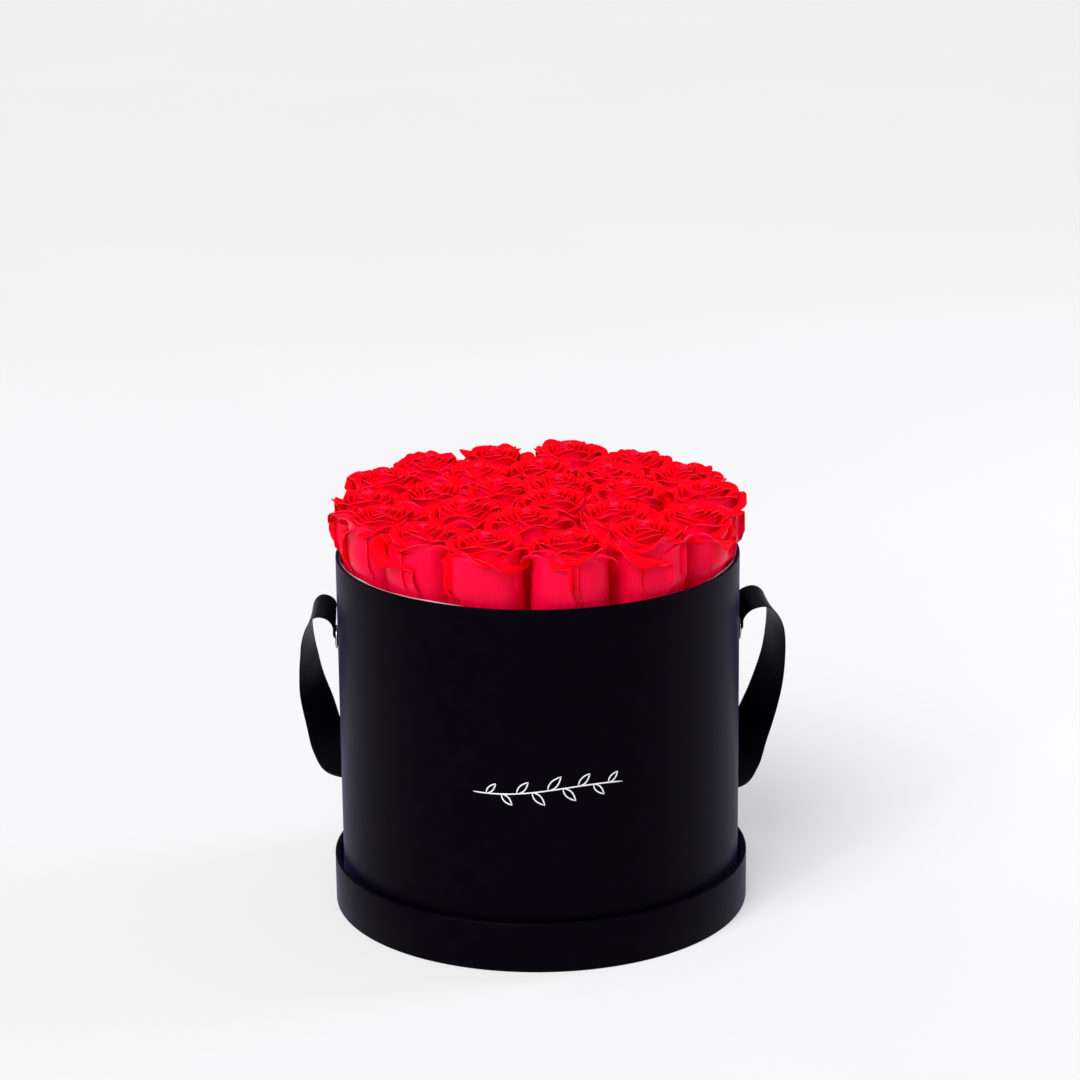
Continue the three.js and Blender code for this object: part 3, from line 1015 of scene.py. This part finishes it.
def lip_shape(rng, ring, u, part):
    """How far a petal's rolled lip goes out and up from its fold, with its unrolled side upright."""
    side = rng.choice([-1, 1]) * rng.uniform(0.75, 1.1)
    rolled = eased(0.5 + 0.8 * side * u)
    lean = math.radians(ring.lip_angle) * (1 - ring.one_sided * (1 - rolled))
    lean = lean * rng.uniform(0.9, 1.1) + 0.1 * np.sin(3.3 * u + rng.uniform(0, TAU))
    length = ring.lip * rng.uniform(0.85, 1.15) * (1 - 0.97 * abs(u) ** 2.3) * (0.74 + 0.5 * rolled)
    tip = 0.1 * ring.lip * np.exp(-((u - 0.1 * side) / 0.17) ** 2)
    bend_share = 1 - 0.4 * ring.one_sided
    bend = lean * np.clip(part / bend_share, 0, 1)
    halfway = (bend + np.concatenate([0 * bend[:1], bend[:-1]])) / 2
    step = np.diff(part, axis=0, prepend=0) * (length + tip)
    out = np.cumsum(np.sin(halfway) * step, axis=0)
    up = np.cumsum(np.cos(halfway) * step, axis=0)
    return out, up, rolled


def side_roll(rng, centre, angle, length, z):
    """How far the free side of an outer head's sheath petal goes round and out where it rolls back."""
    is_outer = np.linalg.norm(centre[:2]) > OUTER_HEAD_PLACE
    free = np.clip((np.cos(angle - math.atan2(centre[1], centre[0])) - 0.15) / 0.3, 0, 1)
    high = np.clip((z + HEAD_BASE - WALL_TOP - FLARE_START) / ROLL_RISE, 0, 1)
    lean = ROLL_ANGLE * rng.uniform(0.35, 1) * is_outer * free * high * (length > 0)
    lean = np.maximum(lean * length / np.maximum(length.max(), 1), 1e-4)
    return length * np.sin(lean) / lean, length * (1 - np.cos(lean)) / lean


def petal_width(cup, along, is_sheath):
    """A petal's width at each row, as a share of its widest: narrow at its base, rounded at its tip."""
    round_from = 0.36 if is_sheath else 0.44
    rounding = np.clip((along - round_from) / (1 - round_from), 0, 1)
    return (0.6 + 0.4 * np.clip(cup / 0.55, 0, 1) ** 0.7) * np.sqrt(1 - 0.72 * rounding**2.2)


def fold_height(rng, ring, u, up, rolled, height):
    """The height of the fold between a petal's cup and its lip."""
    middle = height - ring.drop * rng.uniform(0.85, 1.2) - up[-1:].max() * 0.85
    return middle - 1.2 * u**2 - 4.6 * ring.one_sided * (rolled - 0.5) * ring.belly


def cup_share(ring, cup):
    """The cup's radius at each row, as a share of the space: it swells to its belly, then narrows."""
    bulge = np.where(cup < 0.5, (1 - (1 - cup / 0.5) ** 2) ** 0.62, 1.0)
    narrowing = np.clip((cup - 0.6) / 0.4, 0, 1) ** 1.6
    return np.maximum(bulge * (ring.belly + (ring.neck - ring.belly) * narrowing), 0.08)


def petal_rows(is_sheath):
    """A petal's grid: u from one side to the other, cup from its base to its fold, part up its lip."""
    cup_rows = SHEATH_ROWS if is_sheath else HIDDEN_ROWS
    across = SHEATH_ACROSS if is_sheath else ACROSS
    u = np.sin(np.linspace(-1, 1, across) * SIDE_CROWDING)[None, :] / math.sin(SIDE_CROWDING)
    cup = np.concatenate([cup_rows, np.ones(LIP_ROWS)])[:, None]
    part = np.concatenate([np.zeros(len(cup_rows)), np.linspace(0, 1, LIP_ROWS + 1)[1:]])[:, None]
    return u, cup, part


def petal_grid(rng, ring, turn, height, index, centres):
    """One petal round its head's axis: its points, its uv and its faces."""
    is_sheath = ring.belly > SHEATH_BELLY
    u, cup, part = petal_rows(is_sheath)
    along = 0.5 * cup + 0.499 * part
    out, up, rolled = lip_shape(rng, ring, u, part)
    half_angle = math.radians(ring.half_angle)
    width = petal_width(cup, along, is_sheath)
    angle = turn + half_angle * rng.uniform(0.92, 1.06) * u * width
    z = fold_height(rng, ring, u, up, rolled, height) * cup + up

    follow = np.clip((ring.belly - 0.3) / 0.55, 0, 1)
    space = INNER_RADIUS * (1 - follow) + space_round(index, centres, angle, z) * follow
    radius = cup_share(ring, cup) * space + out
    lap = 0.7 - 0.35 * ring.belly
    radius = radius + lap * u * np.clip(cup * 1.4, 0, 1)
    radius = radius + 0.25 * ring.belly * np.sin(u * 2.7 + rng.uniform(0, TAU)) * cup**3
    z = z + 0.5 * ring.belly * np.sin(u * 4.4 + rng.uniform(0, TAU)) * (0.3 * cup**2 + part)
    if is_sheath:
        strip_angle = half_angle * width * np.clip(u - ROLL_START, 0, 1)
        along_strip, out_strip = side_roll(rng, centres[index], angle, strip_angle * radius, z)
        angle = angle - strip_angle + along_strip / radius
        radius = radius + out_strip
    points = np.stack([*polar(angle, radius), z], axis=-1)
    tone = rng.uniform(0, 6)
    uv = np.stack([(u + 1) / 2 + 0 * along + tone, along + 0 * u], axis=-1)
    return points.reshape(-1, 3), uv.reshape(-1, 2), grid_faces(*angle.shape)


def heart_grid(rng, height):
    """The rolled heart of the rose: one sheet wound in a spiral, leaning in at its top."""
    turns, rows, columns = 2.2, 8, 56
    a = np.linspace(0, turns * TAU, columns)[None, :]
    t = np.linspace(0, 1, rows)[:, None]
    start = rng.uniform(0, TAU)
    radius = (0.3 + 0.19 * a) * (1.2 - 0.55 * t**2) + 0.35 * np.clip(t - 0.86, 0, 1) / 0.14
    top = height + 0.2 + 0.25 * np.sin(a * 2.1 + start) - 0.8 * np.abs(a / (turns * TAU) - 0.3)
    z = top - 12 * (1 - t) ** 1.3
    points = np.stack([*polar(a + start, radius), z], axis=-1)
    uv = np.stack([a / TAU + 0 * t, 0.6 + 0.399 * t + 0 * a], axis=-1)
    return points.reshape(-1, 3), uv.reshape(-1, 2), grid_faces(rows, columns)


def keep_inside(points):
    """Moves the few points that would still touch the wall back inside it."""
    radius = np.maximum(np.hypot(points[:, 0], points[:, 1]), 1)
    clear_of_strap = np.clip((0.93 - np.abs(points[:, 0]) / radius) / 0.05, 0, 1)
    above_rim = np.clip((points[:, 2] - WALL_TOP - FLARE_START) / ROLL_RISE, 0, 1)
    limit = wall_limit(points[:, 2]) + ROLL_FLARE * clear_of_strap * above_rim
    points[:, :2] *= np.minimum(1, limit / radius)[:, None]
    return points


def bloom_grids(rng, height, index, centres):
    """The petals of one rose, ring by ring, and its heart."""
    grids = []
    turn = rng.uniform(0, TAU)
    for ring in PETAL_RINGS:
        for k in range(ring.count):
            start = turn + k * TAU / ring.count + rng.uniform(-0.16, 0.16)
            grids.append(petal_grid(rng, ring, start, height, index, centres))
        turn += RING_TURN
    grids.append(heart_grid(rng, height))
    return grids


def build_bloom(index, name, centres):
    """The head of one rose: rings of petals round a rolled heart."""
    centre = centres[index]
    grids = bloom_grids(np.random.default_rng(SEED + index), centre[2] - HEAD_BASE, index, centres)
    local, faces = joined((points, quads) for points, _, quads in grids)
    uv = np.concatenate([uv for _, uv, _ in grids])
    local[:, :2] += np.outer(local[:, 2] * head_lean(centre), unit(centre[:2]))
    placed = keep_inside(local + np.array([centre[0], centre[1], HEAD_BASE]))
    bloom = make_piece(f"{name}_bloom", placed, faces, uv)
    solid = add_thickness(bloom, PETAL_THICKNESS)
    solid.material_offset = 1
    solid.material_offset_rim = 2
    for material in (PETAL_OUTSIDE, PETAL_INSIDE, PETAL_EDGE):
        bloom.data.materials.append(material)
    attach(bloom, "box")
    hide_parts(name)
    return bloom


STEM_AROUND = 10
STEM_RADII = np.array([2.3, 2.4, 2.3, 2.4, 2.3, 2.4, 2.4])
HIP_RADII = np.array([3.0, 4.2, 5.0, 5.2, 4.2])
SEPALS = 5
SEPAL_THICKNESS = 0.35


def stem_tube(foot):
    """The stem from its foot up to the swollen hip under the head, closed at both ends."""
    radius = np.concatenate([STEM_RADII, HIP_RADII])[:, None]
    stem_z = np.linspace(foot, HEAD_BASE - 6, len(STEM_RADII))
    hip_z = np.linspace(HEAD_BASE - 4, HEAD_BASE + 3, len(HIP_RADII))
    z = np.concatenate([stem_z, hip_z])[:, None]
    turns = np.arange(STEM_AROUND)
    x, y = polar(turns * TAU / STEM_AROUND, radius)
    points = np.stack([x, y, z + 0 * x], axis=-1).reshape(-1, 3)
    faces = grid_faces(len(z), STEM_AROUND, wrap_columns=True)
    faces.append(tuple(turns[::-1].tolist()))
    faces.append(tuple((len(points) - STEM_AROUND + turns).tolist()))
    return points, faces


def sepal_sheet(turn, lift):
    """One side of a pointed sepal that curves out and up under the head."""
    t = np.linspace(0, 1, 8)[:, None]
    u = np.linspace(-1, 1, 5)[None, :]
    out = 4.6 + 9.5 * np.sin(t * 1.5)
    wide = 3.2 * (1 - t) ** 0.8 * u
    x = out * math.cos(turn) - wide * math.sin(turn)
    y = out * math.sin(turn) + wide * math.cos(turn)
    z = HEAD_BASE - 1 + 9 * t - 3.5 * t**2 + 0.5 * u**2 + lift
    return np.stack([x, y, z], axis=-1).reshape(-1, 3), grid_faces(8, 5)


def build_stem(index, name, centres):
    """Stem, swollen hip and sepals under one head."""
    grids = [stem_tube(node_box(name)[0][2])]
    for k in range(SEPALS):
        for lift in (0, -SEPAL_THICKNESS):
            grids.append(sepal_sheet(k * TAU / SEPALS + index, lift))
    points, faces = joined(grids)
    placed = keep_inside(points + np.array([*centres[index][:2], 0]))
    stem = make_piece(f"{name}_stem", placed, faces)
    return finish_piece(stem, "box", GREEN)


def build_roses():
    """A bloom and a stem for each rose in the frame."""
    centres = rose_centres()
    for index, name in enumerate(ROSE_NAMES):
        build_bloom(index, name, centres)
        build_stem(index, name, centres)


# ---------------------------------------------------------------- floor, light and camera

FLOOR_HALF_SIZE = 60.0
FLOOR_GLOW = 0.38
WORLD_STRENGTH = 0.36
WHITE = (1, 1, 1)
COOL = (0.8, 0.74, 1.0)
PALE_VIOLET = (0.82, 0.76, 1.0)
LIGHT_TARGET = (0, 0, 0.15)
CAMERA_AZIMUTH = math.radians(-2.3)
CAMERA_PITCH = 0.2846
CAMERA_DISTANCE = 1.7668
CAMERA_TARGET = (0.0014, 0, 0.2045)
CAMERA_ROLL = 0.0107
LENS = 108.2
SENSOR_WIDTH = 36


def floor_material():
    """Plain pale floor that glows a little, to be as light as a studio's white sweep."""
    look = Look("pale_floor")
    uneven = look.noise(look.object_place(), scale=3, detail=2)
    stops = [(0.4, (0.45, 0.45, 0.45)), (0.6, (0.454, 0.454, 0.454))]
    look.feed("Base Color", look.ramp(uneven, stops))
    look.set(Roughness=0.9, Specular_IOR_Level=0.0)
    look.set(Emission_Color=WHITE, Emission_Strength=FLOOR_GLOW)
    return look.material


def build_floor():
    """A wide plain floor under the box."""
    corners = [(-1, -1, 0), (1, -1, 0), (1, 1, 0), (-1, 1, 0)]
    mesh = bpy.data.meshes.new("floor")
    mesh.from_pydata([Vector(c) * FLOOR_HALF_SIZE for c in corners], [], [(0, 1, 2, 3)])
    mesh.materials.append(floor_material())
    add_object("floor", mesh)


def build_world():
    """Even white light from all round."""
    world = bpy.data.worlds.new("studio")
    world.use_nodes = True
    set_sockets(world.node_tree.nodes["Background"], Color=WHITE, Strength=WORLD_STRENGTH)
    bpy.context.scene.world = world


def turned_to(direction):
    """The rotation of a light or camera that looks along direction."""
    return Vector(direction).to_track_quat("-Z", "Y")


def add_sun(name, direction, strength, softness):
    """A soft distant light that shines along direction; softness is its width in degrees."""
    data = bpy.data.lights.new(name, "SUN")
    data.energy = strength
    data.angle = math.radians(softness)
    add_object(name, data).rotation_euler = turned_to(direction).to_euler()


def add_softbox(name, place, width, height, power, colour):
    """A softbox at a place, in metres, that faces the box."""
    data = bpy.data.lights.new(name, "AREA")
    data.color = colour
    data.shape = "RECTANGLE"
    data.size = width
    data.size_y = height
    data.energy = power
    softbox = add_object(name, data)
    softbox.location = place
    softbox.rotation_euler = turned_to(Vector(LIGHT_TARGET) - Vector(place)).to_euler()


def build_lights():
    """A soft key light from the front left, and strips that brighten the edges of wall and ribbon."""
    build_world()
    add_sun("key", direction=(0.36, 0.60, -0.86), strength=2.9, softness=36)
    add_softbox("right_strip", (1.6, 0.43, 0.8), width=0.5, height=1.0, power=12, colour=PALE_VIOLET)
    add_softbox("left_strip", (-1.5, 1.0, 0.8), width=0.2, height=1.0, power=2.4, colour=COOL)
    add_softbox("front_strip", (-0.9, -1.3, 0.85), width=0.1, height=1.0, power=4.5, colour=WHITE)


def build_camera():
    """A long lens, a little above the box and turned slightly about its own axis."""
    data = bpy.data.cameras.new("camera")
    data.lens = LENS
    data.sensor_width = SENSOR_WIDTH
    camera = add_object("camera", data)
    back = Vector((
        math.sin(CAMERA_AZIMUTH) * math.cos(CAMERA_PITCH),
        -math.cos(CAMERA_AZIMUTH) * math.cos(CAMERA_PITCH),
        math.sin(CAMERA_PITCH),
    ))
    camera.location = Vector(CAMERA_TARGET) + back * CAMERA_DISTANCE
    look = turned_to(-back).to_matrix().to_4x4()
    camera.rotation_euler = (look @ Matrix.Rotation(-CAMERA_ROLL, 4, "Z")).to_euler()
    bpy.context.scene.camera = camera


build_camera()
build_floor()
build_lights()
bpy.context.scene.view_settings.view_transform = "Standard"
build_wall()
build_lid_rim()
dress_cad_nodes()
build_film()
build_fastenings()
build_ribbon()
build_print()
build_roses()
